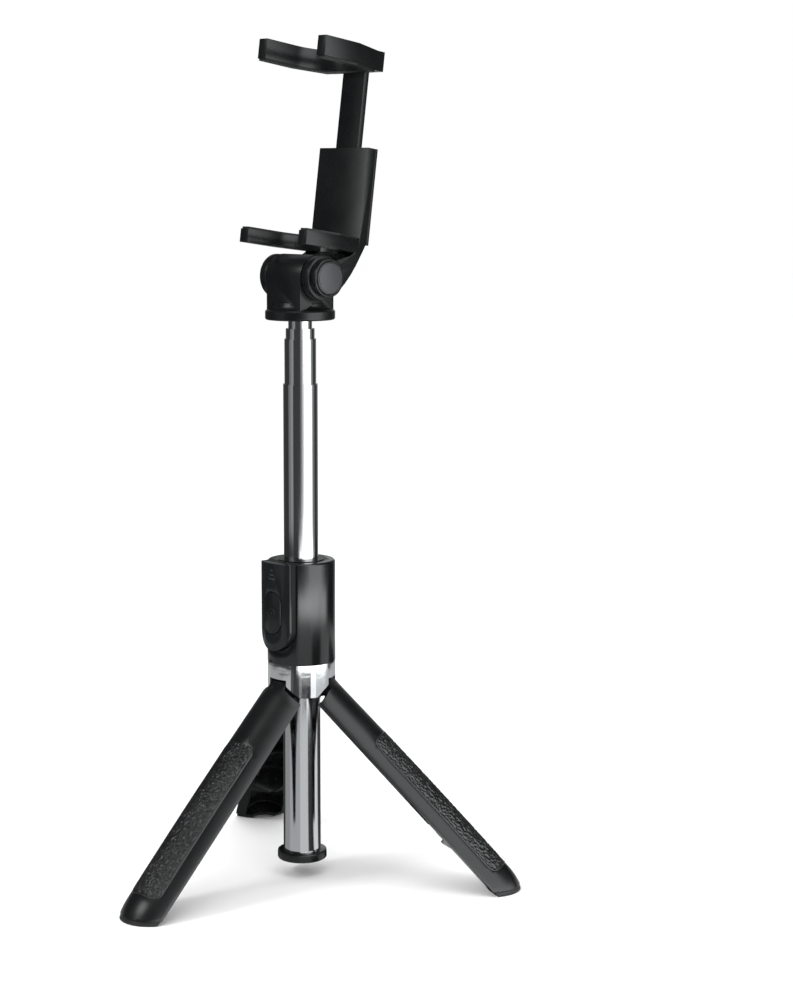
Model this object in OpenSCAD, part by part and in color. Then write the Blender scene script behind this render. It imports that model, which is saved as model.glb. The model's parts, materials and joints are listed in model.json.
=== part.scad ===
// Telescoping selfie stick: folding three-leg base, four drawn tubes, a tilting phone
// clamp and a lift-off shutter remote. The stick stands on the floor plane z = 0 with its
// tube axis on the Z axis, the remote faces -Y and the clamp hinge lies along X.

/* [Tripod] */
// Length of a leg along its outer face, from the hinge to the sole
leg_len = 139.6; // [120:0.1:160]
// Angle that a leg swings out from the tube
leg_splay = 45; // [38:0.5:50]
// Wall of the hollow legs
leg_wall = 1.7; // [1.2:0.1:2.2]
// Height by which the middle of a leg bulges
leg_crown = 0.6; // [0.2:0.1:0.9]
// Length over which the lower end of a leg rounds in
toe_len = 16; // [10:0.5:20]
// Depth by which the lower end of a leg rounds in
toe_drop = 7; // [4:0.5:8]
// Corner radius of the lower end of a leg, seen from outside
toe_corner = 10; // [6:0.5:12]
// Half angle of the tongue that carries the leg's hinge pin, as its half width
tongue_half = 5.2; // [4.4:0.1:5.4]
// Diameter of the leg hinge pins
pin_d = 2; // [1.6:0.1:2.2]
// Height of the end cap above the floor
end_gap = 7.5; // [4:0.5:12]
// Diameter of the end cap's flange
end_cap_d = 24.3; // [21.5:0.1:25]
// Thickness of the end cap's flange
end_cap_t = 4.5; // [3:0.1:6]

/* [Mast] */
// Outer diameter of the fixed tube
base_od = 18.5; // [16:0.1:18.6]
// Wall of the fixed tube
base_wall = 0.5; // [0.4:0.05:0.6]
// Wall of the drawn tubes
tube_wall = 0.4; // [0.3:0.05:0.5]
// Gap all round between one tube and the next
tube_gap = 0.3; // [0.3:0.05:0.4]
// Gap all round between the third tube and the head tube
head_gap = 0.85; // [0.6:0.05:1.1]
// Length of the first tube that shows
tube_1_out = 86.2; // [40:0.1:115]
// Length of the second tube that shows
tube_2_out = 22; // [3:0.1:110]
// Length of the third tube that shows
tube_3_out = 5; // [2:0.1:110]
// Length of the head tube that shows
tube_4_out = 4.4; // [3:0.1:110]

/* [Handle] */
// Diameter of the handle
handle_d = 33.4; // [32.5:0.1:38]
// Height of the handle
handle_h = 50.1; // [46:0.1:70]
// Height of the bright collar
collar_h = 15.9; // [14:0.1:20]
// Wall of the handle shell
handle_wall = 2.2; // [1.6:0.1:2.6]

/* [Remote] */
// Width of the remote
remote_w = 20.5; // [19:0.1:22]
// Height of the remote
remote_h = 43; // [36:0.1:45]
// Distance that the remote stands proud of the handle
remote_proud = 2.8; // [2:0.1:3.2]
// Width of the shutter button
button_w = 11.3; // [8:0.1:12]
// Height of the shutter button
button_h = 20.5; // [14:0.1:22]

/* [Head] */
// Diameter of the head's base disc
disc_d = 34; // [30:0.1:35]
// Thickness of the base disc
disc_t = 5.1; // [4:0.1:6]
// Height of the hinge axis above the bottom of the disc
axis_up = 20.6; // [19:0.1:24]
// Diameter of the hinge barrel
barrel_d = 21.8; // [20:0.1:22]
// Width of the hinge barrel
barrel_w = 24; // [20:0.1:26]
// Diameter of the hinge bolt
bolt_d = 4; // [3:0.1:5]
// Angle that the clamp leans back
lean_back = 8; // [0:0.5:15]

/* [Clamp] */
// Clear height between the two jaw pads
phone_gap = 80.5; // [60:0.1:88]
// Width of the jaws
jaw_w = 47.4; // [45:0.1:52]
// Width of the notch that passes round the handle
notch_w = 36; // [35.6:0.1:38]
// Reach of the jaws in front of the tube axis
jaw_reach = 20; // [16:0.1:24]
// Height of a jaw without its pad
jaw_t = 6.6; // [5:0.1:7]
// Thickness of the ears and side rails
ear_t = 4.6; // [3.6:0.1:5]
// Thickness of the soft jaw pads
pad_t = 1; // [0.6:0.1:1.4]

/* [Fits] */
// Running clearance all round a pin or tube in its guide
fit = 0.05; // [0.02:0.01:0.09]
// Free gap between two pieces that move past each other
gap = 0.35; // [0.3:0.05:0.5]

/* [Hidden] */
$fn = 64;

// Colours
black = [0.07, 0.07, 0.08];
rubber = [0.04, 0.04, 0.045];
steel = [0.75, 0.76, 0.78];
grey = [0.42, 0.43, 0.45];

// Leg hinge: the pins lie midway between the fixed tube and the legs' outer face.
leg_r = handle_d / 2 - 0.1;
tube_r = base_od / 2;
hinge_r = (tube_r + leg_r) / 2;
knuckle_r = (leg_r - tube_r) / 2 - 0.3;
pivot_z = leg_len * cos(leg_splay) - (leg_r - hinge_r) * sin(leg_splay);
leg_angles = [30, 150, 270];

// Heights up the handle
collar_z = pivot_z - 4.4;
handle_z = collar_z + collar_h;
handle_top = handle_z + handle_h;
hub_r = leg_r - 0.8;
hub_top = handle_z - 0.6;
hub_z = collar_z - 0.3;
cap_top = end_gap + end_cap_t;
relief_r = leg_r - 2;
pin_half = sqrt(hub_r * hub_r - pow(hinge_r + pin_d / 2, 2)) - 0.15;
shell_r = handle_d / 2;
core_r = shell_r - handle_wall - 0.1;
bush_h = 3;

// Tubes, from the fixed one to the head tube
od = [base_od,
    base_od - 2 * (base_wall + tube_gap),
    base_od - 2 * (base_wall + tube_wall + 2 * tube_gap),
    base_od - 2 * (base_wall + 2 * tube_wall + 3 * tube_gap),
    base_od - 2 * (base_wall + 3 * tube_wall + 3 * tube_gap + head_gap)];
wall = [base_wall, tube_wall, tube_wall, tube_wall, tube_wall];
stow = [0, 1.5, 1.5, 1, 1.6];
nest = 2;
lip_h = 1.2;
glide_h = 9;
socket_h = 7.5;
out = [0, tube_1_out, tube_2_out, tube_3_out, tube_4_out];
function top_of(i) = i == 0 ? handle_top : top_of(i - 1) + out[i];
function foot_of(i) = i == 0 ? cap_top : foot_of(i - 1) + nest + out[i] - stow[i];
disc_z = top_of(4);

// Head and clamp heights, the clamp's measured from the hinge axis
axis_z = disc_z + axis_up;
barrel_r = barrel_d / 2;
side_gap = 0.6;
ear_in = barrel_w / 2 + side_gap;
ear_out = ear_in + ear_t;
ear_r = barrel_r - 0.2;
jaw_z = 14.1;
pad_low = jaw_z + jaw_t;
grip_low = pad_low + pad_t;
grip_high = grip_low + phone_gap;
upper_z = grip_high + pad_t;
upper_t = jaw_t + 3;
spine_front = shell_r + remote_proud + 1.1;
web_t = 1.4;
slide_front = spine_front + web_t + gap;
slide_t = 3;
cover_front = slide_front + slide_t + gap;
cover_t = 1.4;
spine_top = grip_low + 44;
channel_z = jaw_z + 5.5;
end_wall = 2.5;
foot_bar = 4.5;
bar_z = spine_top - end_wall - 19 - foot_bar;
rod_x = 10.4;
rod_d = 1.6;
neck_half = 7.6;
bend_r = 9.6;

// Remote
remote_top = handle_top;
remote_z = remote_top - remote_h;
remote_front = shell_r + remote_proud;
remote_back_y = tube_r + 1.65;
remote_split = remote_front - 4;
face_r = 22;
button_z = remote_top - 24.3;
cell_z = remote_z + remote_w / 2;
cell_d = 16;
cell_t = 1.6;
door_d = 16.8;
press = 0.5;

// A ring or tube between two heights
module pipe(r_out, r_in, z0, z1) {
    translate([0, 0, z0])
        difference() {
            cylinder(r = r_out, h = z1 - z0);
            translate([0, 0, -1])
                cylinder(r = r_in, h = z1 - z0 + 2);
        }
}

// Places a child on the hinge line of a leg: X outwards, Z along the pin's upward side
module at_leg(i) {
    rotate([0, 0, leg_angles[i]])
        children();
}

// Swings a child, drawn folded down, out to its spread place
module spread(i) {
    at_leg(i)
        translate([hinge_r, 0, pivot_z])
            rotate([0, -leg_splay, 0])
                translate([-hinge_r, 0, -pivot_z])
                    children();
}

// Extrudes a flat outline (across, up) towards -Y, from y0 to y1 in front of the axis
module front_prism(y0, y1) {
    translate([0, -y0, 0])
        rotate([90, 0, 0])
            linear_extrude(y1 - y0)
                children();
}

// Extrudes a flat outline (back, up) along X
module side_prism(x0, x1) {
    translate([x0, 0, 0])
        rotate([90, 0, 90])
            linear_extrude(x1 - x0)
                children();
}

// A cylinder along X
module x_rod(r, x0, x1) {
    translate([x0, 0, 0])
        rotate([0, 90, 0])
            cylinder(r = r, h = x1 - x0);
}

// A flat pill, taller than it is wide
module pill(w, h) {
    square([w, h - w], center = true);
    for (s = [-1, 1])
        translate([0, s * (h - w) / 2])
            circle(r = w / 2);
}

// A flat rectangle with round corners
module round_rect(w, h, r) {
    square([w - 2 * r, h], center = true);
    square([w, h - 2 * r], center = true);
    for (x = [-1, 1], y = [-1, 1])
        translate([x * (w / 2 - r), y * (h / 2 - r)])
            circle(r = r);
}

// --- base ---------------------------------------------------------------------------

module end_cap() {
    color(black)
        union() {
            rotate_extrude()
                polygon([[0, end_gap], [end_cap_d / 2 - 0.6, end_gap],
                    [end_cap_d / 2, end_gap + 0.6], [end_cap_d / 2, cap_top - 0.5],
                    [end_cap_d / 2 - 0.5, cap_top], [0, cap_top]]);
            pipe(tube_r - base_wall, tube_r - base_wall - 1, cap_top - 0.5, cap_top + 2);
        }
}

module base_tube() {
    color(steel)
        tube_body(0, cap_top, handle_top - bush_h);
}

// A thin tube with its top rim turned in to guide the next tube
module tube_body(i, z0, z1) {
    next_r = i < 4 ? od[i + 1] / 2 + fit : od[i] / 2 - wall[i];
    difference() {
        translate([0, 0, z0])
            cylinder(r = od[i] / 2, h = z1 - z0);
        translate([0, 0, z0 - 1])
            cylinder(r = od[i] / 2 - wall[i], h = z1 - z0 - lip_h + 1);
        translate([0, 0, z0])
            cylinder(r = next_r, h = z1 - z0 + 1);
    }
}

// The brass sleeve round the foot of a drawn tube
module glide_body(i) {
    pipe(od[i - 1] / 2 - wall[i - 1] - fit, od[i] / 2, foot_of(i), foot_of(i) + glide_h);
}

// Cuts the slots of the three leg tongues, each this much wider than the tongue
module leg_slots(half, top) {
    for (i = [0:2])
        at_leg(i)
            translate([tube_r + 0.02, -half, hub_z - 1])
                cube([leg_r, 2 * half, top - hub_z + 1]);
}

module leg_hub() {
    color(black)
        difference() {
            pipe(hub_r, tube_r, hub_z, hub_top);
            leg_slots(tongue_half + gap, pivot_z + knuckle_r + gap);
            for (i = [0:2])
                at_leg(i)
                    difference() {
                        rotate([0, 0, 90])
                            front_prism(5, leg_r + 5)
                                shoulder_room();
                        translate([0, 0, hub_z - 2])
                            cylinder(r = relief_r, h = 20);
                    }
            for (i = [0:2])
                at_leg(i)
                    translate([hinge_r, 0, pivot_z])
                        rotate([90, 0, 0])
                            cylinder(d = pin_d, h = 2 * pin_half + 1.8, center = true);
        }
}

// The flat outline, across and up, that the collar leaves open for one leg
module collar_opening() {
    half = tongue_half + gap + 0.25;
    polygon([[-half - 6, collar_z - 1], [-half - 6, collar_z], [-half, collar_z + 5.5],
        [-half, collar_z + 8.5], [half, collar_z + 8.5], [half, collar_z + 5.5],
        [half + 6, collar_z], [half + 6, collar_z - 1]]);
}

// The flat outline that leaves room for one leg's shoulders to swing
module shoulder_room() {
    polygon([[-12, hub_z - 1], [-12, pivot_z - 4.7], [-8, pivot_z - 3],
        [-tongue_half, pivot_z - 1.55], [tongue_half, pivot_z - 1.55],
        [8, pivot_z - 3], [12, pivot_z - 4.7], [12, hub_z - 1]]);
}

module collar() {
    color(steel)
        difference() {
            pipe(leg_r + 0.05, hub_r, collar_z, handle_z);
            for (i = [0:2])
                at_leg(i)
                    rotate([0, 0, 90])
                        front_prism(5, leg_r + 5)
                            collar_opening();
        }
}

module leg_pin(i) {
    color(steel)
        at_leg(i)
            translate([hinge_r, 0, pivot_z])
                rotate([90, 0, 0])
                    cylinder(d = pin_d, h = 2 * pin_half, center = true);
}

// --- legs, drawn folded down round the tube ------------------------------------------

leg_low = pivot_z - leg_len - 1;
toe_z = leg_low + toe_len - 1;
shoulder_z = pivot_z - 8.5;
sole_t = 2;
toe_fill = 12;
foot_in_r = 7.5;
clip_in_r = 1.8;
leg_in_r = tube_r + 0.9;
grip_half = 38;
grip_z0 = pivot_z - leg_len * 0.88;
grip_z1 = pivot_z - leg_len * 0.26;
grip_depth = 0.8;
rib_t = 1.2;

// Outer radius of a leg at height z: an even crown, rounded in at the lower end
function crown(z) =
    leg_r + leg_crown * sin(180 * (shoulder_z - z) / (shoulder_z - leg_low)) - toe(z);
function toe(z) =
    let (t = min(0.98, max(0, (toe_z - z) / toe_len)))
    toe_drop * (1 - sqrt(1 - t * t));

// Profile of the leg's outer face from the shoulder down, set in by t
function face_points(t) = concat(
    [for (k = [0:9])
        let (z = shoulder_z + (toe_z - shoulder_z) * k / 9)
        [crown(z) - t, z]],
    [for (k = [1:10])
        let (z = toe_z + (leg_low - toe_z) * k / 10)
        [crown(z) - t, z]]);

// Solid of revolution under the leg's outer face
module leg_round(t, z_top) {
    rotate_extrude()
        polygon(concat([[0, leg_low], [0, z_top], [leg_r - t, z_top]], face_points(t)));
}

// Everything below the plane that lies this far above the floor when the leg is spread
module below_floor(h) {
    translate([hinge_r, 0, pivot_z])
        rotate([0, leg_splay, 0])
            translate([-150, -50, -pivot_z - 100 + h])
                cube([300, 100, 100]);
}

module leg_shell(i) {
    color(black)
        spread(i)
            difference() {
                union() {
                    leg_trough();
                    leg_tongue();
                }
                grip_pocket();
                below_floor(sole_t);
                translate([hinge_r, 0, pivot_z])
                    rotate([90, 0, 0])
                        cylinder(r = pin_d / 2 + fit, h = 30, center = true);
            }
}

// The hollow body of a leg: outer wall, two side walls, ribs and the clip tab
module leg_trough() {
    intersection() {
        toe_outline();
        union() {
            leg_walls();
            leg_toe();
            leg_clip();
        }
    }
}

// The leg's outline seen from outside, its lower corners rounded
module toe_outline() {
    low = leg_low + 1.5;
    half = leg_r + 2;
    side = leg_r * sin(60) - toe_corner;
    rotate([0, 0, 90])
        front_prism(0, leg_r + 5)
            union() {
                translate([-half, low + toe_corner])
                    square([2 * half, leg_len]);
                translate([-side, low])
                    square([2 * side, toe_corner + 1]);
                for (s = [-1, 1])
                    translate([s * side, low + toe_corner])
                        circle(r = toe_corner);
            }
}

// The pointed tab, level with the floor when folded, that hooks under the end cap
module leg_clip() {
    intersection() {
        rotate_extrude()
            polygon([[end_cap_d / 2, -4], [end_cap_d / 2, 2], [clip_in_r, 2],
                [clip_in_r, 0.8]]);
        leg_sector(0.3);
    }
}

// The solid end of a leg, which carries the rubber foot
module leg_toe() {
    difference() {
        intersection() {
            leg_round(0, leg_low + toe_fill);
            leg_sector(0.3);
        }
        translate([0, 0, leg_low - 1])
            cylinder(r = foot_in_r + 1, h = toe_fill + 2);
    }
}

// The outline of a leg's upper end, across and up, just short of the collar's edges
module shoulder_outline() {
    polygon([[-16, leg_low - 1], [-16, pivot_z - 5.5], [-11.5, pivot_z - 5.1],
        [-8, pivot_z - 3.7], [-tongue_half, pivot_z - 2.9], [tongue_half, pivot_z - 2.9],
        [8, pivot_z - 3.7], [11.5, pivot_z - 5.1], [16, pivot_z - 5.5], [16, leg_low - 1]]);
}

// The leg's walls, ribs and clip tab
module leg_walls() {
    difference() {
        intersection() {
            leg_round(0, pivot_z);
            leg_sector(0.3);
            rotate([0, 0, 90])
                front_prism(0, leg_r + 5)
                    shoulder_outline();
        }
        translate([0, 0, hub_z - gap])
            cylinder(r = relief_r + gap, h = 20);
        difference() {
            intersection() {
                leg_round(leg_wall, shoulder_z - 2.5);
                leg_sector(0.3 + leg_wall);
            }
            for (k = [1:4])
                translate([0, -30, pivot_z - leg_len * (0.12 + 0.19 * k)])
                    cube([40, 60, rib_t]);
        }
        translate([0, 0, leg_low - 1])
            cylinder(r = leg_in_r, h = 200);
        translate([0, 0, end_gap - gap])
            cylinder(r = end_cap_d / 2 + gap, h = end_cap_t + 2 * gap);
        translate([0, 0, end_gap - 60])
            cylinder(r = end_cap_d / 2 - 0.6, h = 60 - gap);
    }
}

// Sector of one leg between its two side planes
module leg_sector(set_in) {
    intersection() {
        rotate([0, 0, 60])
            translate([-40, -80 - set_in, leg_low - 1])
                cube([80, 80, 220]);
        rotate([0, 0, -60])
            translate([-40, set_in, leg_low - 1])
                cube([80, 80, 220]);
    }
}

// The tongue that fills the collar's notch and turns on the pin
module leg_tongue() {
    difference() {
        union() {
            translate([hinge_r, 0, pivot_z])
                rotate([90, 0, 0])
                    cylinder(r = knuckle_r, h = 2 * tongue_half, center = true);
            translate([hinge_r - knuckle_r, -tongue_half, shoulder_z - 4])
                cube([2 * knuckle_r, 2 * tongue_half, pivot_z - shoulder_z + 4]);
        }
        translate([0, 0, shoulder_z - 5])
            difference() {
                cylinder(r = 40, h = 40);
                cylinder(r = leg_r, h = 40);
            }
    }
}

// The recess for the rubber grip, and the grip that fills it
module grip_outline(grow) {
    translate([0, (grip_z0 + grip_z1) / 2])
        round_rect(2 * leg_r * sin(grip_half) + 2 * grow, grip_z1 - grip_z0 + 2 * grow, 4);
}

module grip_pocket() {
    difference() {
        rotate([0, 0, 90])
            front_prism(leg_in_r, leg_r + 5)
                grip_outline(0);
        leg_round(grip_depth, shoulder_z);
    }
}

module leg_grip(i) {
    color(rubber)
        spread(i)
            difference() {
                intersection() {
                    rotate([0, 0, 90])
                        front_prism(leg_in_r, leg_r + 5)
                            grip_outline(-0.05);
                    leg_round(-0.25, shoulder_z);
                }
                leg_round(grip_depth, shoulder_z + 1);
            }
}

module leg_foot(i) {
    color(rubber)
        spread(i)
            difference() {
                intersection() {
                    leg_round(0.4, shoulder_z);
                    leg_sector(0.8);
                    toe_outline();
                    below_floor(sole_t);
                }
                below_floor(0);
                translate([0, 0, leg_low - 1])
                    cylinder(r = foot_in_r, h = 200);
            }
}

// --- handle ---------------------------------------------------------------------------

// Outline of the remote, across and up: square at the top, half round below
module remote_outline(grow, over) {
    translate([0, cell_z])
        circle(r = remote_w / 2 + grow);
    translate([-remote_w / 2 - grow, cell_z])
        square([remote_w + 2 * grow, remote_top - cell_z + over]);
}

module handle_core() {
    color(black)
        difference() {
            pipe(core_r, tube_r, hub_top + 0.1, handle_top - bush_h - 0.1);
            front_prism(remote_back_y - gap, 30)
                remote_outline(gap, 5);
            for (a = [60, 120, 180, 0])
                rotate([0, 0, a])
                    translate([tube_r + 1.6, -1.6, hub_top + 4])
                        cube([core_r - tube_r, 3.2, handle_h - 12]);
        }
}

module handle_shell() {
    color(black)
        difference() {
            rotate_extrude()
                polygon([[tube_r, handle_z], [shell_r, handle_z],
                    [shell_r, handle_top - 0.8], [shell_r - 0.8, handle_top],
                    [tube_r, handle_top]]);
            translate([0, 0, handle_z - 1])
                cylinder(r = core_r + 0.1, h = handle_h + 1 - bush_h);
            translate([0, 0, handle_top - bush_h - 0.5])
                cylinder(r = tube_r + 2, h = bush_h + 1);
            front_prism(remote_back_y - gap, 30)
                remote_outline(gap, 5);
        }
}

module handle_bush() {
    color(black)
        difference() {
            pipe(tube_r + 1.95, od[1] / 2 + fit, handle_top - bush_h, handle_top + 0.3);
            front_prism(remote_back_y - gap, 30)
                remote_outline(gap, 5);
        }
}

// --- mast -----------------------------------------------------------------------------

module tube(i) {
    color(steel)
        tube_body(i, foot_of(i), top_of(i) + (i == 4 ? socket_h : 0));
}

module glide(i) {
    color([0.75, 0.6, 0.3])
        glide_body(i);
}

module swivel_plug() {
    plug_r = od[4] / 2 - tube_wall;
    color(grey)
        union() {
            translate([0, 0, disc_z - 4])
                cylinder(r = plug_r, h = 4 + socket_h);
            translate([0, 0, disc_z + socket_h - 1])
                cylinder(r = 2.5, h = 4);
        }
}

// --- head -----------------------------------------------------------------------------

fillet_r = 3.2;

module head_base() {
    color(black)
        translate([0, 0, axis_z])
            difference() {
                union() {
                    rotate_extrude()
                        polygon(concat([[0, -axis_up], [disc_d / 2 - 0.6, -axis_up],
                            [disc_d / 2, -axis_up + 0.6], [disc_d / 2, disc_t - axis_up - 1],
                            [disc_d / 2 - 1, disc_t - axis_up]],
                            [for (k = [0:6]) let (a = 270 - 15 * k)
                                [disc_d / 2 - 1.2 + fillet_r * cos(a),
                                disc_t - axis_up + fillet_r + fillet_r * sin(a)]],
                            [[0, disc_t - axis_up + fillet_r]]));
                    translate([-barrel_w / 2, -barrel_r, disc_t - axis_up - 1])
                        cube([barrel_w, barrel_d, axis_up - disc_t + 1]);
                    x_rod(barrel_r, -barrel_w / 2, barrel_w / 2);
                }
                x_rod(bolt_d / 2 + fit, -30, 30);
                translate([0, 0, -axis_up - 1])
                    cylinder(r = od[4] / 2 + fit, h = socket_h + 1 + gap);
                translate([0, 0, -axis_up])
                    cylinder(r = 2.5 + fit, h = socket_h + 3 + gap);
            }
}

// Places a child drawn from the hinge axis, leaning back with the clamp
module clamp_place() {
    translate([0, 0, axis_z])
        rotate([-lean_back, 0, 0])
            children();
}

nut_t = 2.8;
nut_d = 8;
head_d = 7;
head_t = 2.4;
cap_len = 4.6;

module hinge_bolt() {
    color(steel)
        clamp_place()
            union() {
                x_rod(bolt_d / 2, -ear_out + 0.2, ear_out);
                x_rod(head_d / 2, ear_out, ear_out + head_t);
            }
}

module hinge_nut() {
    color(steel)
        clamp_place()
            difference() {
                translate([-ear_out + 0.1, 0, 0])
                    rotate([0, 90, 0])
                        cylinder(d = nut_d, h = nut_t, $fn = 6);
                x_rod(bolt_d / 2, -30, 30);
            }
}

module hinge_washers() {
    color(grey)
        clamp_place()
            for (s = [-1, 1])
                translate([s * (ear_in - 0.15), 0, 0])
                    rotate([0, 90, 0])
                        difference() {
                            cylinder(r = 8, h = 0.3, center = true);
                            cylinder(d = bolt_d + 2 * fit, h = 1, center = true);
                        }
}

module hinge_ring() {
    color(black)
        clamp_place()
            difference() {
                x_rod(9.3, ear_out, ear_out + cap_len - 0.9);
                x_rod(7.95, ear_out - 1, ear_out + cap_len);
            }
}

module hinge_cap() {
    color(grey)
        clamp_place()
            difference() {
                union() {
                    x_rod(7.7, ear_out, ear_out + cap_len - 0.5);
                    x_rod(7.2, ear_out + cap_len - 1, ear_out + cap_len);
                }
                x_rod(6, ear_out - 1, ear_out + cap_len - 1.6);
            }
}

module hinge_cover() {
    color(black)
        clamp_place()
            union() {
                x_rod(9.6, -ear_out - 1.2, -ear_out);
                x_rod(9.1, -ear_out - 1.8, -ear_out - 1);
            }
}

// --- phone clamp ----------------------------------------------------------------------

// Side outline of an arm: hinge disc, curved arm and straight rail
module arm_outline() {
    circle(r = ear_r);
    polygon(concat([[2.6, -10.3], [6.6, -8.9], [10.4, -5.3], [14, -1.2], [17.3, 3.4],
        [20.1, 8.2], [cover_front - 3.4, 12.6], [cover_front - 1.6, 16.2],
        [cover_front - 0.4, 19], [cover_front, 21.5], [cover_front, spine_top],
        [spine_front, spine_top]],
        [for (k = [0:7]) bend_point(bend_r, -12 * k)],
        [[6, 8.6]]));
}

// Plan of a jaw, set in by t: a notched plate that tapers back to the spine
module jaw_outline(t) {
    tip = -jaw_reach + t;
    side = jaw_w / 2 - t;
    difference() {
        polygon([[-side, tip], [side, tip], [side, 2], [ear_out - t, spine_front - t],
            [-ear_out + t, spine_front - t], [-side, 2]]);
        circle(r = notch_w / 2 + t);
        translate([-notch_w / 2 - t, -40])
            square([notch_w + 2 * t, 40]);
    }
}

// The curved web that joins the two arms below the jaw, raised by this much
module bend_web(half, raise) {
    side_prism(-half, half)
        polygon(concat(
            [for (k = [0:8]) bend_point(bend_r - raise, -9 * k)],
            [for (k = [8:-1:0]) bend_point(bend_r + web_t, -9 * k)]));
}

// A point on a circle round the centre of the bend
function bend_point(r, a) = [spine_front - bend_r + r * cos(a), 20.7 + r * sin(a)];

module clamp_bracket() {
    color(black)
        clamp_place()
            difference() {
                union() {
                    side_prism(ear_in, ear_out)
                        arm_outline();
                    side_prism(-ear_out, -ear_in)
                        arm_outline();
                    translate([-ear_in - 0.5, spine_front, jaw_z])
                        cube([2 * ear_in + 1, web_t, spine_top - jaw_z]);
                    side_prism(-ear_in - 0.5, ear_in + 0.5)
                        polygon([[spine_front, jaw_z], [cover_front - 2.7, jaw_z],
                            [cover_front - 1.6, 16.2], [cover_front - 0.4, 19],
                            [cover_front - 0.2, channel_z], [spine_front, channel_z]]);
                    translate([-ear_in - 0.5, spine_front, spine_top - end_wall])
                        cube([2 * ear_in + 1, cover_front - spine_front, end_wall]);
                    translate([0, 0, jaw_z])
                        linear_extrude(jaw_t)
                            jaw_outline(0);
                    translate([-ear_out, spine_front - 2.4, jaw_z])
                        cube([2 * ear_out, 2.6, jaw_t]);
                    bend_web(ear_in + 0.5, 0);
                    bend_web(neck_half - 0.3, 0.7);
                }
                x_rod(bolt_d / 2, -30, 30);
                translate([-ear_out - 1, 0, 0])
                    rotate([0, 90, 0])
                        cylinder(d = nut_d, h = nut_t + 1.1, $fn = 6);
                translate([-neck_half - gap, slide_front - gap, spine_top - end_wall - 1])
                    cube([2 * (neck_half + gap), 20, end_wall + 2]);
                rod_holes(0);
                screw_places()
                    cylinder(d = 1.8, h = 9, center = true);
                translate([0, 0, jaw_z - 0.01])
                    cylinder(r = notch_w / 2, h = 60);
            }
}

// The two rods' bores, this much wider than the rods
module rod_holes(grow) {
    for (s = [-1, 1])
        translate([s * rod_x, slide_front + slide_t / 2, channel_z - 2])
            cylinder(d = rod_d + 2 * grow, h = spine_top - channel_z + 1);
}

// Four screws through the back cover, their axes along Y
module screw_places() {
    for (s = [-1, 1], z = [channel_z + 4, spine_top - 4])
        translate([s * (ear_in + ear_t / 2), cover_front, z])
            rotate([-90, 0, 0])
                children();
}

module clamp_back_cover() {
    color(black)
        clamp_place()
            difference() {
                union() {
                    translate([-ear_out, cover_front, channel_z - 1])
                        cube([2 * ear_out, cover_t, spine_top - channel_z + 1]);
                    translate([-7.3, cover_front + cover_t - 0.5, channel_z + 2])
                        cube([14.6, 1.1, spine_top - channel_z - 5]);
                }
                screw_places()
                    translate([0, 0, -1])
                        cylinder(d = 2.2, h = 9);
                screw_places()
                    translate([0, 0, cover_t - 0.8])
                        cylinder(d = 3.8, h = 3);
            }
}

module clamp_screws() {
    color(steel)
        clamp_place()
            screw_places()
                union() {
                    translate([0, 0, -4])
                        cylinder(d = 1.8, h = 4 + cover_t - 0.4);
                    translate([0, 0, cover_t - 0.8])
                        cylinder(d = 3.4, h = 0.7);
                }
}

module guide_rods() {
    color(steel)
        clamp_place()
            for (s = [-1, 1])
                translate([s * rod_x, slide_front + slide_t / 2, channel_z - 2])
                    cylinder(d = rod_d, h = spine_top - channel_z + 1);
}

// One coil spring: a wire of six sides swept up a helix
spring_r = 1.25;
spring_wire = 0.2;
spring_turns = 9;
spring_steps = 10;
spring_z0 = bar_z + foot_bar;
spring_h = spine_top - end_wall - spring_z0;

function wire_point(k, c) =
    let (a = 360 * k / spring_steps, b = 60 * c,
        r = spring_r + spring_wire * cos(b))
    [r * cos(a), r * sin(a), spring_wire + 0.05 + spring_wire * sin(b)
        + (spring_h - 2 * spring_wire - 0.1) * k / (spring_turns * spring_steps)];

module spring() {
    last = spring_turns * spring_steps;
    polyhedron(
        points = [for (k = [0:last], c = [0:5]) wire_point(k, c)],
        faces = concat([[0, 1, 2, 3, 4, 5]],
            [for (k = [0:last - 1], c = [0:5])
                let (d = (c + 1) % 6)
                each [[6 * k + c, 6 * k + 6 + c, 6 * k + 6 + d],
                    [6 * k + c, 6 * k + 6 + d, 6 * k + d]]],
            [[for (c = [5:-1:0]) 6 * last + c]]));
}

module clamp_springs() {
    color(steel)
        clamp_place()
            for (s = [-1, 1])
                translate([s * rod_x, slide_front + slide_t / 2, spring_z0])
                    spring();
}

module lower_jaw_pad() {
    color(rubber)
        clamp_place()
            translate([0, 0, pad_low])
                linear_extrude(pad_t)
                    jaw_outline(0.5);
}

module upper_jaw() {
    color(black)
        clamp_place()
            difference() {
                union() {
                    translate([0, 0, upper_z])
                        linear_extrude(upper_t)
                            jaw_outline(0);
                    translate([-ear_out, spine_front - 2.4, upper_z])
                        cube([2 * ear_out, slide_front + slide_t - spine_front + 2.4, upper_t]);
                    translate([-neck_half, slide_front, bar_z])
                        cube([2 * neck_half, slide_t, upper_z - bar_z + 1]);
                    translate([-ear_in + gap, slide_front, bar_z])
                        cube([2 * (ear_in - gap), slide_t, foot_bar]);
                }
                cylinder(r = notch_w / 2, h = 200);
                rod_holes(fit);
            }
}

module upper_jaw_pad() {
    color(rubber)
        clamp_place()
            translate([0, 0, grip_high])
                linear_extrude(pad_t)
                    jaw_outline(0.5);
}

// --- remote ---------------------------------------------------------------------------

// Everything behind the remote's gently rounded front, pushed out by grow
module front_crown(grow) {
    translate([0, face_r - remote_front, remote_z - 5])
        cylinder(r = face_r + grow, h = remote_h + 10, $fn = 96);
}

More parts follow.
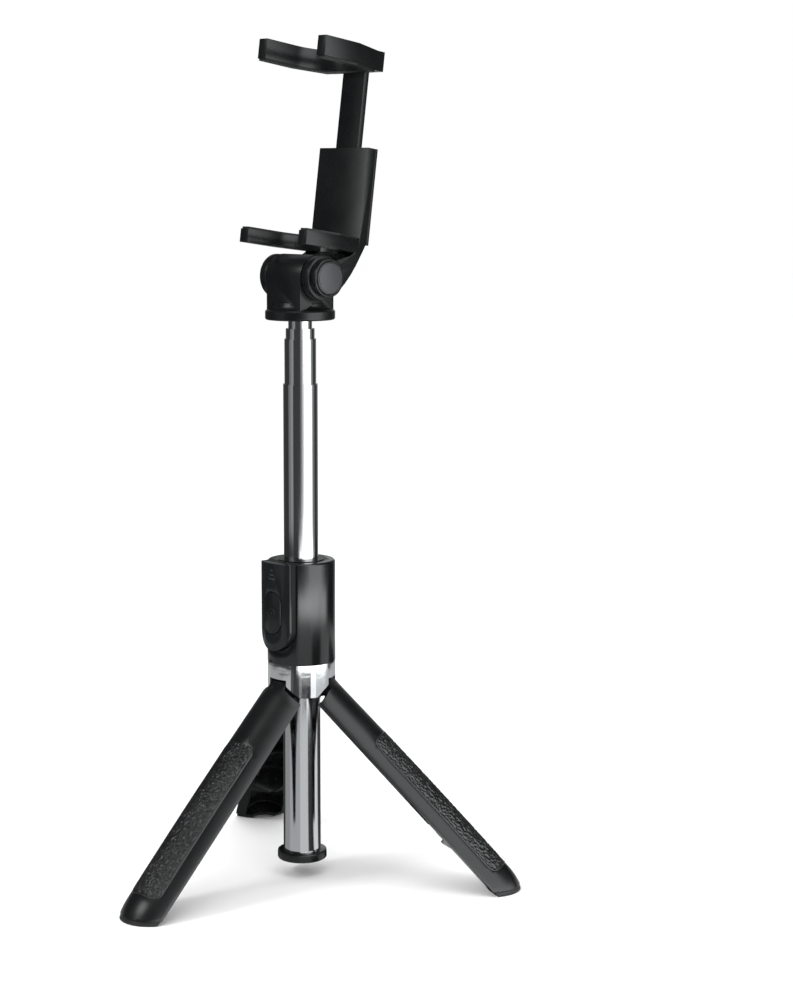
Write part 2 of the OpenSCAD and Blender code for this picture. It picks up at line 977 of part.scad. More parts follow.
module remote_back() {
    color(black)
        difference() {
            front_prism(remote_back_y, remote_split)
                remote_outline(0, 0);
            front_prism(remote_back_y + 1, remote_split + 1)
                remote_outline(-1.2, -1.2);
            translate([0, -remote_back_y, cell_z])
                rotate([90, 0, 0])
                    cylinder(d = door_d + 0.2, h = 4, center = true);
        }
}

module remote_face() {
    color(black)
        difference() {
            intersection() {
                front_prism(remote_split, remote_front + 1)
                    remote_outline(0, 0);
                front_crown(0);
            }
            front_prism(remote_split - 1, remote_front - 2.5)
                remote_outline(-1.8, -1.8);
            front_prism(0, 40)
                translate([0, button_z])
                    pill(button_w + 2 * gap, button_h + 2 * gap);
            led_slots(0);
        }
}

// The three slim windows of the indicator, each wider than the one above
module led_slots(inset) {
    for (k = [0:2])
        front_prism(remote_split, remote_front + 2)
            translate([0, remote_top - 3.6 - 2 * k])
                square([2 + 1.4 * k - 2 * inset, 0.7 - 2 * inset], center = true);
}

module led_bars() {
    color([0.7, 0.72, 0.75])
        intersection() {
            front_prism(remote_front - 2.5, remote_front + 1)
                translate([0, remote_top - 5.6])
                    square([7, 6], center = true);
            led_slots(0.02);
            front_crown(-0.1);
        }
}

module remote_button() {
    color(black)
        union() {
            intersection() {
                front_prism(remote_front - 3.4, remote_front + 1)
                    translate([0, button_z])
                        pill(button_w, button_h);
                front_crown(0.4);
            }
            front_prism(remote_front - 3.4, remote_front - 2.8)
                translate([0, button_z])
                    pill(button_w + 2, button_h + 2);
        }
}

module remote_pcb() {
    color([0.05, 0.25, 0.12])
        front_prism(remote_back_y + 3, remote_back_y + 3.8)
            remote_outline(-1.5, -1.5);
}

module dome_switch() {
    color(steel)
        front_prism(remote_back_y + 3.8, remote_front - 3.4 - press - 0.1)
            translate([0, button_z])
                circle(r = 3);
}

module remote_cell() {
    color(steel)
        front_prism(remote_back_y + 1.1, remote_back_y + 1.1 + cell_t)
            translate([0, cell_z])
                circle(d = cell_d);
}

module battery_door() {
    color(black)
        difference() {
            front_prism(remote_back_y + 0.05, remote_back_y + 1.05)
                translate([0, cell_z])
                    circle(d = door_d);
            front_prism(remote_back_y - 1, remote_back_y + 0.5)
                translate([0, cell_z])
                    square([9, 1.4], center = true);
        }
}

end_cap();
base_tube();
leg_hub();
collar();
handle_core();
handle_shell();
handle_bush();
leg_pin(0);  // leg_pin_1
leg_pin(1);  // leg_pin_2
leg_pin(2);  // leg_pin_3
leg_shell(0);  // leg_shell_1
leg_shell(1);  // leg_shell_2
leg_shell(2);  // leg_shell_3
leg_grip(0);  // leg_grip_1
leg_grip(1);  // leg_grip_2
leg_grip(2);  // leg_grip_3
leg_foot(0);  // leg_foot_1
leg_foot(1);  // leg_foot_2
leg_foot(2);  // leg_foot_3
tube(1);  // tube_1
tube(2);  // tube_2
tube(3);  // tube_3
tube(4);  // tube_4
glide(1);  // glide_1
glide(2);  // glide_2
glide(3);  // glide_3
glide(4);  // glide_4
swivel_plug();
head_base();
hinge_bolt();
hinge_nut();
hinge_washers();
hinge_ring();
hinge_cap();
hinge_cover();
clamp_bracket();
clamp_back_cover();
clamp_screws();
guide_rods();
clamp_springs();
lower_jaw_pad();
upper_jaw();
upper_jaw_pad();
remote_back();
remote_face();
remote_button();
remote_pcb();
remote_cell();
battery_door();
dome_switch();
led_bars();
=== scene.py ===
# %% [markdown]
# A telescoping selfie stick stands on three folding legs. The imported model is
# loaded first and never changed: it says where every part sits and what moves.
# Everything made here is a better-looking skin for one of its parts, a mark moulded
# into one, or a finish.

# %% Load the frame
import json
import math

import bpy
import numpy as np
from mathutils import Matrix, Vector


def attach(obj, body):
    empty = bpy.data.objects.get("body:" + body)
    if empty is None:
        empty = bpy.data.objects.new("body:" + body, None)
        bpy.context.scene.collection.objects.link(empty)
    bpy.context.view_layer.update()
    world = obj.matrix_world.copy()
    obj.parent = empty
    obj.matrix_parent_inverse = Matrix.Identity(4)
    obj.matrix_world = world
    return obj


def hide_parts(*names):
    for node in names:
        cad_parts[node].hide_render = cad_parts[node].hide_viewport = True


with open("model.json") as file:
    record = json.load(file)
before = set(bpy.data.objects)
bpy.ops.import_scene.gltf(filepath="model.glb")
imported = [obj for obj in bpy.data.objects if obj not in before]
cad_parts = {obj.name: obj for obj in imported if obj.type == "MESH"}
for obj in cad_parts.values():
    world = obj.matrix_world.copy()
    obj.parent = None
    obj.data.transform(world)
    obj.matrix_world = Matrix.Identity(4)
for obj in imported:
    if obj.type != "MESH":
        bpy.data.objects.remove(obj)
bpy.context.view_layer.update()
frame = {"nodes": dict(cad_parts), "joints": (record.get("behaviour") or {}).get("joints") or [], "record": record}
nodes = frame["nodes"]
MM = 0.001

# %% [markdown]
# The driving places come from the frame: each leg's hinge from its joint, and the
# spread from the joint's range. The tube axis is the Z axis. Nothing is typed
# twice, so a change of size in the model carries through.

# %% Places taken from the frame
joints = {joint["name"]: joint for joint in frame["joints"]}
LEG_HINGES = [Vector(joints[f"leg_{n}_fold"]["pos_m"]) for n in (1, 2, 3)]
LEG_TURNS = [math.atan2(hinge.y, hinge.x) for hinge in LEG_HINGES]
HINGE_R = math.hypot(LEG_HINGES[0].x, LEG_HINGES[0].y)
PIVOT_Z = LEG_HINGES[0].z
SPLAY = math.radians(joints["leg_1_fold"]["range_deg"][1])
print("legs spread", round(math.degrees(SPLAY), 1), "degrees, hinges",
      round(HINGE_R / MM, 1), "mm from the axis and", round(PIVOT_Z / MM, 1), "mm up")

# %% [markdown]
# The camera stands a little over a metre away, an eighth of a turn to the right
# of the remote, level with the clamp and looking slightly down. A long lens keeps
# the tubes straight, as a maker's catalogue shows them.

# %% Camera
CAMERA_PLACE = (0.7929, -0.7260, 0.345)
CAMERA_YAW = math.radians(45.03)
CAMERA_PITCH = math.radians(6.31)
CAMERA_ROLL = math.radians(0.04)
camera_data = bpy.data.cameras.new("camera")
camera_data.lens = 79.85
camera_data.sensor_width = 36
camera_data.shift_y = -0.08
camera_data.clip_start = 0.01
camera_data.clip_end = 20
camera = bpy.data.objects.new("camera", camera_data)
bpy.context.scene.collection.objects.link(camera)
camera.matrix_world = (
    Matrix.Translation(CAMERA_PLACE)
    @ Matrix.Rotation(CAMERA_YAW, 4, "Z")
    @ Matrix.Rotation(math.pi / 2 - CAMERA_PITCH, 4, "X")
    @ Matrix.Rotation(CAMERA_ROLL, 4, "Z")
)
bpy.context.scene.camera = camera
print("camera", round(math.degrees(CAMERA_PITCH), 2), "degrees below level")

# %% [markdown]
# Bright metal shows only what stands round it, so the studio matters as much as
# the finish. The stick stands in a tent of upright panels. Only reflections see
# the panels: the bright ones draw the white bands on the tubes and the broad soft
# light on the handle, and the dark ones keep black plastic black.

# %% Glowing panels
TENT_R = 0.35
TENT_PANELS = 120
CAMERA_SIDE = -45  # degrees from +X round to the side the camera looks from


def emission_material(name, strength):
    material = bpy.data.materials.new(name)
    material.use_nodes = True
    tree = material.node_tree
    tree.nodes.clear()
    glow = tree.nodes.new("ShaderNodeEmission")
    out = tree.nodes.new("ShaderNodeOutputMaterial")
    glow.inputs["Color"].default_value = (0.97, 0.99, 1.0, 1)
    glow.inputs["Strength"].default_value = strength
    tree.links.new(glow.outputs["Emission"], out.inputs["Surface"])
    return material


def paint_bands(piece, bands):
    """Gives each face the brightness of its band: (end in degrees right of the camera, strength)."""
    for end, strength in bands:
        piece.data.materials.append(emission_material(f"{piece.name}_{end}", strength))
    for face in piece.data.polygons:
        place = piece.matrix_world @ face.center
        turn = (math.degrees(math.atan2(place.y, place.x)) - CAMERA_SIDE + 180) % 360 - 180
        face.material_index = next(k for k, band in enumerate(bands) if turn <= band[0])
    piece.visible_camera = False
    piece.visible_diffuse = False
    piece.visible_shadow = False


def tent_ring(name, low, high, bands):
    """An upright ring of narrow panels round the stick."""
    bpy.ops.mesh.primitive_cylinder_add(vertices=TENT_PANELS, radius=TENT_R, depth=high - low,
                                        end_fill_type="NOTHING", location=(0, 0, (low + high) / 2))
    bpy.context.object.name = name
    paint_bands(bpy.context.object, bands)


def tent_disc(name, height, bands):
    """A level ring of wedges."""
    bpy.ops.mesh.primitive_circle_add(vertices=TENT_PANELS, radius=TENT_R, fill_type="TRIFAN",
                                      location=(0, 0, height))
    bpy.context.object.name = name
    paint_bands(bpy.context.object, bands)


print("tent", round(TENT_R / MM), "mm in radius, a panel every", 360 / TENT_PANELS, "degrees")

# %% [markdown]
# A camera above the handle sees the upper tent in the mast, the shoulder and the
# middle in the handle, and the lower tent and its floor in the collar and the
# fixed tube. So each height has its own bands, and the bands are set one by one.

# %% Tent of reflections
TENT_FLOOR = 0.0004
TENT_FOOT = 0.0005
LOWER_TOP = 0.03
MIDDLE_TOP = 0.097
SHOULDER_TOP = 0.112
TENT_TOP = 1.2
tent_ring("tent_upper", SHOULDER_TOP, TENT_TOP, [
    (-150, 0.25), (-120, 0.05), (-84, 0.04), (-66, 0.2), (-48, 0.3), (-20, 0.05), (2, 0.05),
    (16, 0.25), (26, 0.8), (76, 2.2), (88, 1.0), (104, 0.2), (135, 0.04), (160, 0.15), (181, 0.6)])
tent_ring("tent_shoulder", MIDDLE_TOP, SHOULDER_TOP, [
    (-150, 0.2), (-60, 0.03), (8, 0.04), (14, 0.8), (20, 3.6), (76, 3.6), (88, 1.6),
    (101, 0.4), (142, 0.02), (160, 0.2), (181, 0.8)])
tent_ring("tent_middle", LOWER_TOP, MIDDLE_TOP, [
    (-150, 0.2), (-60, 0.03), (-16, 0.04), (-9, 0.8), (-3, 3.2), (36, 4.6), (60, 4.0),
    (91, 3.2), (97, 1.6), (101, 0.6), (142, 0.02), (160, 0.3), (181, 1.0)])
tent_ring("tent_lower", TENT_FOOT, LOWER_TOP, [
    (-130, 0.45), (-90, 0.4), (-60, 0.42), (-34, 0.5), (-24, 0.1), (-6, 0.05), (4, 0.2),
    (22, 0.06), (34, 0.03), (52, 1.1), (90, 0.6), (130, 0.5), (181, 0.45)])
tent_disc("tent_floor", TENT_FLOOR, [
    (-150, 0.1), (-120, 0.04), (-75, 0.3), (-10, 0.42), (40, 0.6), (56, 0.04), (72, 0.03),
    (110, 0.75), (130, 0.06), (150, 0.03), (181, 0.2)])
tent_disc("tent_roof", TENT_TOP, [(-90, 0.1), (90, 0.6), (181, 0.1)])
print("tent rings change at", LOWER_TOP, MIDDLE_TOP, SHOULDER_TOP, "m")

# %% [markdown]
# Everything but the reflections is lit by an even white world, so the ground and
# the backdrop melt into one. Two soft boxes give the shadow under the legs its
# direction. The ground is a little below the feet, so the two never flicker.

# %% World, ground and soft boxes
bpy.context.scene.view_settings.view_transform = "Standard"
GROUND_Z = -0.0002
AIM_Z = 0.2
world = bpy.data.worlds.new("studio")
world.use_nodes = True
world.node_tree.nodes["Background"].inputs["Color"].default_value = (1, 1, 1, 1)
world.node_tree.nodes["Background"].inputs["Strength"].default_value = 1.0
bpy.context.scene.world = world

bpy.ops.mesh.primitive_plane_add(size=12, location=(0, 0, GROUND_Z))
floor = bpy.context.object
floor.name = "floor"
floor_material = bpy.data.materials.new("floor")
floor_material.use_nodes = True
floor_shader = floor_material.node_tree.nodes["Principled BSDF"]
floor_shader.inputs["Base Color"].default_value = (1, 1, 1, 1)
floor_shader.inputs["Roughness"].default_value = 0.9
floor_shader.inputs["Specular IOR Level"].default_value = 0.1
floor.data.materials.append(floor_material)


def soft_box(name, turn, distance, height, size, power):
    """An area light on a stand, turn degrees to the right of the camera, aimed at the mast."""
    angle = math.radians(turn + CAMERA_SIDE)
    light_data = bpy.data.lights.new(name, "AREA")
    light_data.shape = "RECTANGLE"
    light_data.size, light_data.size_y = size
    light_data.energy = power
    light = bpy.data.objects.new(name, light_data)
    bpy.context.scene.collection.objects.link(light)
    place = Vector((math.cos(angle) * distance, math.sin(angle) * distance, height))
    light.location = place
    light.rotation_euler = (Vector((0, 0, AIM_Z)) - place).to_track_quat("-Z", "Y").to_euler()
    print(name, "light of", power, "W at", [round(value, 2) for value in place], "m")


soft_box("key", turn=-60, distance=1.3, height=1.2, size=(0.4, 0.4), power=9)
soft_box("top", turn=30, distance=0.5, height=1.6, size=(0.9, 0.9), power=6)

# %% [markdown]
# Small helpers keep the steps short. Each piece is picked alone before an
# operator runs, because operators act on everything that is selected.

# %% Helpers for picking and finishing
MERGE_WITHIN = 0.002 * MM
FLAT_WITHIN = math.radians(0.3)


def pick(piece):
    bpy.ops.object.select_all(action="DESELECT")
    piece.select_set(True)
    bpy.context.view_layer.objects.active = piece


def apply_modifiers(piece):
    pick(piece)
    for modifier in list(piece.modifiers):
        bpy.ops.object.modifier_apply(modifier=modifier.name)


def smooth(piece, angle):
    """Shades a piece smooth except across edges sharper than angle in degrees."""
    pick(piece)
    bpy.ops.object.shade_smooth_by_angle(angle=math.radians(angle))


def bevel(piece, width, segments=2, angle=30):
    """Rounds every edge sharper than angle by width in millimetres."""
    modifier = piece.modifiers.new("round", "BEVEL")
    modifier.width = width * MM
    modifier.segments = segments
    modifier.limit_method = "ANGLE"
    modifier.angle_limit = math.radians(angle)
    modifier.use_clamp_overlap = True
    modifier.miter_outer = "MITER_ARC"
    apply_modifiers(piece)


def finish_piece(piece, body, node_names, material):
    """Puts a finish on a piece, hangs it on its body and hides the parts it stands for."""
    piece.data.materials.clear()
    piece.data.materials.append(material)
    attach(piece, body)
    if node_names:
        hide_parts(*node_names)


def copy_of_node(node, name):
    """A copy of a part's mesh with its loose triangles merged and its flat faces made whole."""
    piece = bpy.data.objects.new(name, nodes[node].data.copy())
    bpy.context.scene.collection.objects.link(piece)
    pick(piece)
    bpy.ops.object.mode_set(mode="EDIT")
    bpy.ops.mesh.select_all(action="SELECT")
    bpy.ops.mesh.remove_doubles(threshold=MERGE_WITHIN)
    bpy.ops.mesh.dissolve_limited(angle_limit=FLAT_WITHIN)
    bpy.ops.object.mode_set(mode="OBJECT")
    return piece


print("a copied part merges points within", round(MERGE_WITHIN / MM, 3), "mm")


# %% [markdown]
# Moulded ABS is not one flat black. The mould leaves a fine even grain, the skin
# is a little glossier where fingers rub, and dust greys it. The grain is a small
# bump from noise, and the roughness drifts slowly over the surface.

# %% Node helpers and the plastic recipe
DRIFT_SCALE = 38
GRAIN_STRENGTH = 0.35


def new_material(name):
    material = bpy.data.materials.new(name)
    material.use_nodes = True
    tree = material.node_tree
    return material, tree, tree.nodes["Principled BSDF"]


def noise_on_object(tree, scale, detail=2, stretch=(1, 1, 1)):
    """Noise on the object's own coordinates, stretched along an axis where asked."""
    coordinates = tree.nodes.new("ShaderNodeTexCoord")
    mapping = tree.nodes.new("ShaderNodeMapping")
    mapping.inputs["Scale"].default_value = stretch
    noise = tree.nodes.new("ShaderNodeTexNoise")
    noise.inputs["Scale"].default_value = scale
    noise.inputs["Detail"].default_value = detail
    tree.links.new(coordinates.outputs["Object"], mapping.inputs["Vector"])
    tree.links.new(mapping.outputs["Vector"], noise.inputs["Vector"])
    return noise


def ramp(tree, source, low, high, low_colour, high_colour):
    """One colour where the source is at low or under, another where it is at high or over."""
    node = tree.nodes.new("ShaderNodeValToRGB")
    node.color_ramp.elements[0].position = low
    node.color_ramp.elements[1].position = high
    node.color_ramp.elements[0].color = (*low_colour, 1)
    node.color_ramp.elements[1].color = (*high_colour, 1)
    tree.links.new(source, node.inputs["Fac"])
    return node


def bump(tree, source, strength, distance, shader):
    node = tree.nodes.new("ShaderNodeBump")
    node.inputs["Strength"].default_value = strength
    node.inputs["Distance"].default_value = distance
    tree.links.new(source, node.inputs["Height"])
    tree.links.new(node.outputs["Normal"], shader.inputs["Normal"])


def moulded_plastic(name, colour, worn, roughness, grain=2600, depth=0.03 * MM, specular=0.5):
    """Plastic that drifts from colour to worn, with a grain of the given scale and depth."""
    material, tree, shader = new_material(name)
    drift = noise_on_object(tree, DRIFT_SCALE, 3)
    tint = ramp(tree, drift.outputs["Fac"], 0.3, 0.75, colour, worn)
    tree.links.new(tint.outputs["Color"], shader.inputs["Base Color"])
    rough = ramp(tree, drift.outputs["Fac"], 0.25, 0.8, (roughness - 0.05,) * 3, (roughness + 0.07,) * 3)
    tree.links.new(rough.outputs["Color"], shader.inputs["Roughness"])
    fine = noise_on_object(tree, grain)
    bump(tree, fine.outputs["Fac"], GRAIN_STRENGTH, depth, shader)
    shader.inputs["Specular IOR Level"].default_value = specular
    return material


print("plastic drifts over about", round(1000 / DRIFT_SCALE), "mm")

# %% [markdown]
# One recipe gives all the plastics: satin for most parts, a tighter gloss for the
# handle and the remote's face, matt for the remote's back, a lighter grey for the
# hinge's cap, and a softer, duller rubber for the soles.

# %% Plastics and rubbers
black_abs = moulded_plastic("satin_black_abs", (0.0035, 0.004, 0.0045), (0.007, 0.0075, 0.008), 0.27)
handle_abs = moulded_plastic(
    "handle_abs", (0.0035, 0.004, 0.0045), (0.006, 0.0065, 0.007), 0.2, specular=0.8)
matte_abs = moulded_plastic(
    "matte_abs", (0.003, 0.0033, 0.0036), (0.005, 0.0055, 0.006), 0.5, specular=0.2)
gloss_abs = moulded_plastic(
    "gloss_black_abs", (0.006, 0.007, 0.008), (0.010, 0.011, 0.012), 0.16, grain=900, depth=0.01 * MM)
grey_abs = moulded_plastic("grey_abs", (0.045, 0.048, 0.052), (0.07, 0.073, 0.078), 0.38)
rubber_black = moulded_plastic(
    "soft_rubber", (0.008, 0.008, 0.009), (0.014, 0.014, 0.015), 0.5, grain=1800, depth=0.05 * MM)
pebbled_rubber = moulded_plastic(
    "pebbled_rubber", (0.004, 0.0045, 0.005), (0.008, 0.0085, 0.009), 0.3, depth=0.01 * MM,
    specular=0.75)
board_green = moulded_plastic("board_lacquer", (0.01, 0.09, 0.03), (0.02, 0.13, 0.05), 0.3)
clear_bar = moulded_plastic("smoked_bar", (0.022, 0.023, 0.025), (0.035, 0.036, 0.038), 0.25)
print("plastics and rubbers ready, the shiniest", gloss_abs.name)

# %% [markdown]
# The tubes are drawn through a die, which leaves faint lines along them, so their
# noise is stretched along Z. The collar is cast and polished by hand, and slow
# waves in it bend what it mirrors. Steel and brass inside stay plain.

# %% Metals


def drawn_metal(name, colour, roughness, stretch, scale=220, depth=0.004 * MM, strength=0.25):
    """Bright metal whose noise gives both its lines or waves and its change of gloss."""
    material, tree, shader = new_material(name)
    shader.inputs["Metallic"].default_value = 1.0
    shader.inputs["Base Color"].default_value = (*colour, 1)
    lines = noise_on_object(tree, scale, stretch=stretch)
    rough = ramp(tree, lines.outputs["Fac"], 0.3, 0.7, (roughness * 0.8,) * 3, (roughness * 1.5,) * 3)
    tree.links.new(rough.outputs["Color"], shader.inputs["Roughness"])
    bump(tree, lines.outputs["Fac"], strength, depth, shader)
    return material


chrome_tube = drawn_metal("polished_tube", (0.78, 0.79, 0.80), 0.10, (1, 1, 0.02))
chrome_collar = drawn_metal(
    "polished_collar", (0.82, 0.83, 0.84), 0.06, (1, 1, 1.3), scale=110, depth=0.04 * MM, strength=1)
plated_steel = drawn_metal("plated_steel", (0.55, 0.56, 0.58), 0.28, (1, 1, 1), scale=900)
rolled_brass = drawn_metal("rolled_brass", (0.75, 0.55, 0.22), 0.3, (1, 1, 0.1))
print("metals ready, the brightest", chrome_collar.name)

# %% [markdown]
# The record names the stuff of every part, so each part takes the finish of its
# slot. Only the collar differs from the tubes, which share its slot.

# %% Every part gets its finish
SLOT_FINISH = {
    "black_plastic": black_abs,
    "grey_plastic": grey_abs,
    "rubber": rubber_black,
    "chrome": chrome_tube,
    "steel": plated_steel,
    "brass": rolled_brass,
    "circuit_board": board_green,
    "lens": clear_bar,
}
SLOTS = {part["node"]: part["material_slot"] for part in frame["record"]["subparts"]}
BODIES = {node: body for body, members in frame["record"]["behaviour"]["bodies"].items()
          for node in members}
for name, node in nodes.items():
    node.data.materials.clear()
    node.data.materials.append(SLOT_FINISH[SLOTS[name]])
    smooth(node, 30)
nodes["collar"].data.materials[0] = chrome_collar
print("finishes:", len(SLOT_FINISH), "slots on", len(nodes), "parts")

# %% [markdown]
# A mould cannot make a knife edge, so every plastic part has small rounds that
# catch the light. Each casing is a copy of its part with its edges rounded, and
# the width of the round in millimetres is given part by part.

# %% Casings with rounded edges
ROUNDS = {
    "handle_shell": 0.35, "head_base": 0.45, "clamp_bracket": 0.4, "clamp_back_cover": 0.3,
    "upper_jaw": 0.5, "hinge_ring": 0.25, "hinge_cap": 0.3, "hinge_cover": 0.4,
    "end_cap": 0.3, "leg_shell_1": 0.35, "leg_shell_2": 0.35, "leg_shell_3": 0.35,
    "leg_foot_1": 0.3, "leg_foot_2": 0.3, "leg_foot_3": 0.3, "remote_back": 0.3,
    "remote_face": 0.3, "leg_hub": 0.2,
}
OWN_FINISH = {"handle_shell": handle_abs, "remote_face": gloss_abs, "remote_back": matte_abs}
for node, width in ROUNDS.items():
    casing = copy_of_node(node, node + "_skin")
    bevel(casing, width)
    smooth(casing, 40)
    finish = OWN_FINISH.get(node, SLOT_FINISH[SLOTS[node]])
    finish_piece(casing, BODIES[node], [node], finish)
    print(node, len(casing.data.polygons), "faces")

# %% [markdown]
# The rubber panel on each leg has a pebbled skin, like leather, that stops the
# hand from slipping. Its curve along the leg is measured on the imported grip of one
# leg, taken back to where the leg is folded down, because there the panel is a
# plain part of a round body about the tube's axis.

# %% Curve of a grip, measured on the folded leg
MEASURED_LEG = 2
FACE_R = 16.5 * MM  # points further from the axis than this lie on the grip's face


def unfold(point, leg):
    """A point on a spread leg, taken back to where it lies when the leg is folded down."""
    turned = Matrix.Rotation(-LEG_TURNS[leg], 4, "Z") @ point
    hinge = Vector((HINGE_R, 0, PIVOT_Z))
    return hinge + Matrix.Rotation(SPLAY, 4, "Y") @ (turned - hinge)


measured_grip = nodes[f"leg_grip_{MEASURED_LEG + 1}"]
grip_points = [unfold(vertex.co, MEASURED_LEG) for vertex in measured_grip.data.vertices]
grip_low = min(point.z for point in grip_points)
grip_high = max(point.z for point in grip_points)
grip_rings = {}
for point in grip_points:
    ring = round(point.z / MM, 1)
    grip_rings[ring] = max(grip_rings.get(ring, 0), math.hypot(point.x, point.y))
ring_heights = sorted(ring for ring, radius in grip_rings.items() if radius > FACE_R)
ring_radii = [grip_rings[ring] for ring in ring_heights]
grip_half_width = max(point.y for point in grip_points)
print("grip", round((grip_high - grip_low) / MM, 1), "mm long, crown",
      round(max(ring_radii) / MM, 2), "mm")

# %% [markdown]
# The panel could be cut from a lathed body, but then its points would not lie in
# even rows. So one column of points is laid along the measured curve and spun
# round the axis: fine, even squares are what the pebbles need.

# %% One strip, spun
GRIP_HALF = math.radians(38)
GRIP_ROWS = 330
GRIP_COLUMNS = 104
STRIP_OVER = 0.3 * MM  # how far the strip runs past each end of the panel
bpy.ops.object.select_all(action="DESELECT")
bpy.ops.mesh.primitive_grid_add(x_subdivisions=1, y_subdivisions=GRIP_ROWS, size=1)
strip = bpy.context.object
strip.name = "grip_strip"
bpy.ops.object.mode_set(mode="EDIT")
bpy.ops.mesh.select_all(action="DESELECT")
bpy.ops.object.mode_set(mode="OBJECT")
for vertex in strip.data.vertices:
    vertex.select = vertex.co.x < 0
bpy.ops.object.mode_set(mode="EDIT")
bpy.ops.mesh.delete(type="VERT")
bpy.ops.object.mode_set(mode="OBJECT")
for vertex in strip.data.vertices:
    height = grip_low - STRIP_OVER + (vertex.co.y + 0.5) * (grip_high - grip_low + 2 * STRIP_OVER)
    radius = float(np.interp(height / MM, ring_heights, ring_radii))
    vertex.co = (radius * math.cos(GRIP_HALF), -radius * math.sin(GRIP_HALF), height)
bpy.ops.object.mode_set(mode="EDIT")
bpy.ops.mesh.select_all(action="SELECT")
bpy.ops.mesh.spin(steps=GRIP_COLUMNS, angle=-2 * GRIP_HALF, center=(0, 0, 0), axis=(0, 0, 1))
bpy.ops.mesh.select_all(action="SELECT")
bpy.ops.mesh.remove_doubles(threshold=0.00001)
bpy.ops.mesh.normals_make_consistent(inside=False)
bpy.ops.object.mode_set(mode="OBJECT")
ys = [vertex.co.y for vertex in strip.data.vertices]
print("strip", len(strip.data.vertices), "points, across",
      round(min(ys) / MM, 2), "to", round(max(ys) / MM, 2), "mm, first normal",
      [round(value, 2) for value in strip.data.polygons[0].normal])

# %% [markdown]
# The panel has rounded corners and a rim that rolls down into the leg. The pebbles
# stand between grooves, which are pressed in along the borders of a cell pattern
# and fade out before the rim. Real grooves shade better than a bump at this size.

# %% Rim and pebbles
GRIP_CORNER = 4 * MM
FADE_START = 0.3 * MM
FADE = 0.6 * MM
RIM_DROP = 0.65 * MM
RIM_START = -0.25 * MM
PEBBLE = 1.3 * MM
GROOVE_DEPTH = 0.5 * MM


def grip_depth_inside(across, height):
    """Distance in from the rounded outline of the panel, negative outside it."""
    dx = abs(across) - (grip_half_width - GRIP_CORNER)
    dz = abs(height - (grip_low + grip_high) / 2) - ((grip_high - grip_low) / 2 - GRIP_CORNER)
    outside = math.hypot(max(dx, 0), max(dz, 0)) + min(max(dx, dz), 0)
    return GRIP_CORNER - outside


def fade_in(inside, start):
    """Grows from 0 at start to 1 over the width of the fade."""
    return min(1, max(0, (inside - start) / FADE))


group = strip.vertex_groups.new(name="pebbled")
for vertex in strip.data.vertices:
    inside = grip_depth_inside(vertex.co.y, vertex.co.z)
    group.add([vertex.index], fade_in(inside, FADE_START), "REPLACE")
    radius = math.hypot(vertex.co.x, vertex.co.y)
    drop = RIM_DROP * (1 - fade_in(inside, RIM_START)) ** 2
    vertex.co.x *= (radius - drop) / radius
    vertex.co.y *= (radius - drop) / radius
pebbles = bpy.data.textures.new("pebbles", "VORONOI")
pebbles.distance_metric = "DISTANCE_SQUARED"
pebbles.noise_scale = PEBBLE
pebbles.noise_intensity = 1.6
grooves = strip.modifiers.new("grooves", "DISPLACE")
grooves.texture = pebbles
grooves.texture_coords = "LOCAL"
grooves.vertex_group = "pebbled"
grooves.mid_level = 0.0
grooves.strength = -GROOVE_DEPTH
apply_modifiers(strip)
print("pebbles", round(PEBBLE / MM, 1), "mm across on", len(strip.data.vertices), "points")

# %% [markdown]
# The skin gets its thickness last, inwards, so that its face stays on the measured
# curve. Each leg then takes its own copy, swung out about its hinge and turned
# round the axis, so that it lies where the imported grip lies.

# %% Three grips
GRIP_SKIN = 0.35 * MM
skin = strip.modifiers.new("skin", "SOLIDIFY")
skin.thickness = GRIP_SKIN
skin.offset = -1
apply_modifiers(strip)


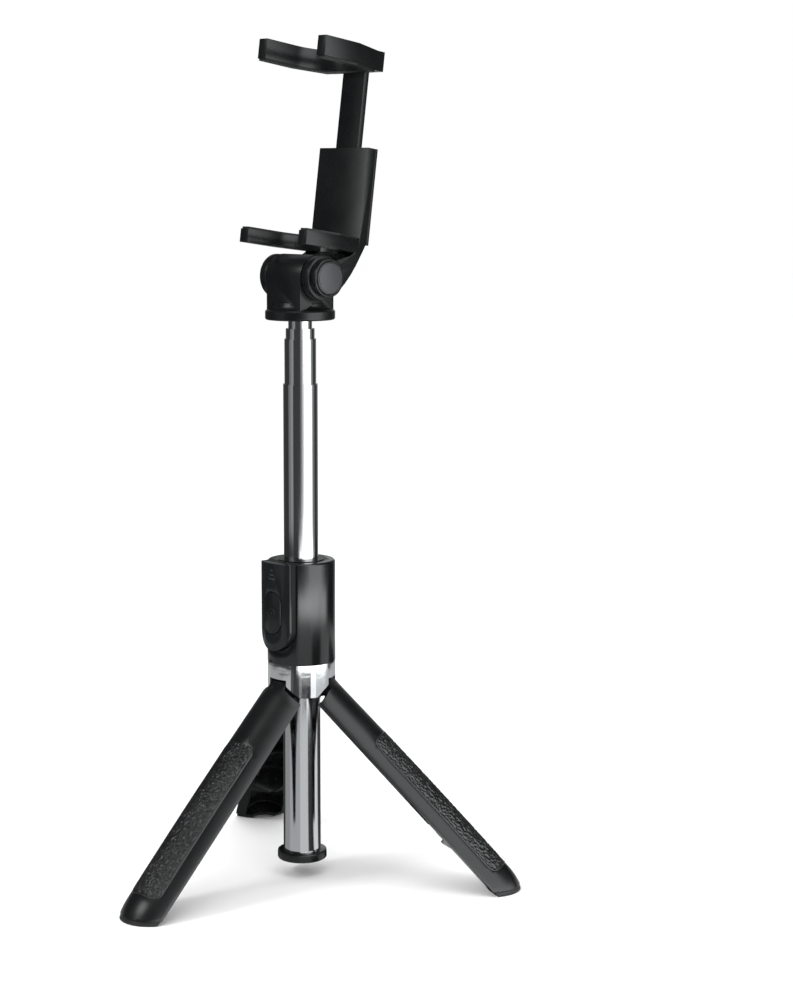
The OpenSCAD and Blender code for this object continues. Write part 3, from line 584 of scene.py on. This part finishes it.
def spread_leg(piece, leg):
    """Swings a piece that was made on the folded leg out to the spread leg."""
    hinge = Matrix.Translation((HINGE_R, 0, PIVOT_Z))
    swing = hinge @ Matrix.Rotation(-SPLAY, 4, "Y") @ hinge.inverted()
    piece.data.transform(Matrix.Rotation(LEG_TURNS[leg], 4, "Z") @ swing)
    piece.data.update()


for leg in range(3):
    grip = bpy.data.objects.new(f"pebbled_grip_{leg + 1}", strip.data.copy())
    bpy.context.scene.collection.objects.link(grip)
    spread_leg(grip, leg)
    smooth(grip, 60)
    finish_piece(grip, f"leg_{leg + 1}", [f"leg_grip_{leg + 1}"], pebbled_rubber)
    print("grip", leg + 1, len(grip.data.polygons), "faces")
bpy.data.objects.remove(strip)

# %% [markdown]
# The shutter button is a soft-touch oblong with a round target moulded into it:
# a low ring with a dot in it, so the thumb finds the middle in the dark. Both are
# sunk into the face, the ring as a torus and the dot as a ball, until only their
# rounded backs stand out.

# %% Shutter button with its ring and dot
RING_R = 2.2 * MM
RING_WIRE_R = 0.22 * MM
RING_SINK = 0.05 * MM
DOT_R = 0.75 * MM
DOT_SINK = 0.4 * MM
button = copy_of_node("remote_button", "remote_button_skin")
bevel(button, 0.25)
front_y = min(vertex.co.y for vertex in button.data.vertices)
button_high = max(vertex.co.z for vertex in button.data.vertices)
button_low = min(vertex.co.z for vertex in button.data.vertices)
mark_z = (button_high + button_low) / 2
bpy.ops.mesh.primitive_torus_add(location=(0, front_y + RING_SINK, mark_z),
                                 rotation=(math.pi / 2, 0, 0), major_radius=RING_R,
                                 minor_radius=RING_WIRE_R, major_segments=48, minor_segments=10)
ring = bpy.context.object
bpy.ops.mesh.primitive_uv_sphere_add(segments=24, ring_count=12, radius=DOT_R,
                                     location=(0, front_y + DOT_SINK, mark_z))
dot = bpy.context.object
for mark, name in ((ring, "button_ring"), (dot, "button_dot")):
    pick(mark)
    bpy.ops.object.transform_apply(location=True, rotation=True, scale=True)
    mark.name = name
    smooth(mark, 60)
    finish_piece(mark, "button", [], gloss_abs)
smooth(button, 40)
finish_piece(button, "button", ["remote_button"], black_abs)
print("button front", round(front_y / MM, 2), "mm, mark", round(mark_z / MM, 2), "mm up")
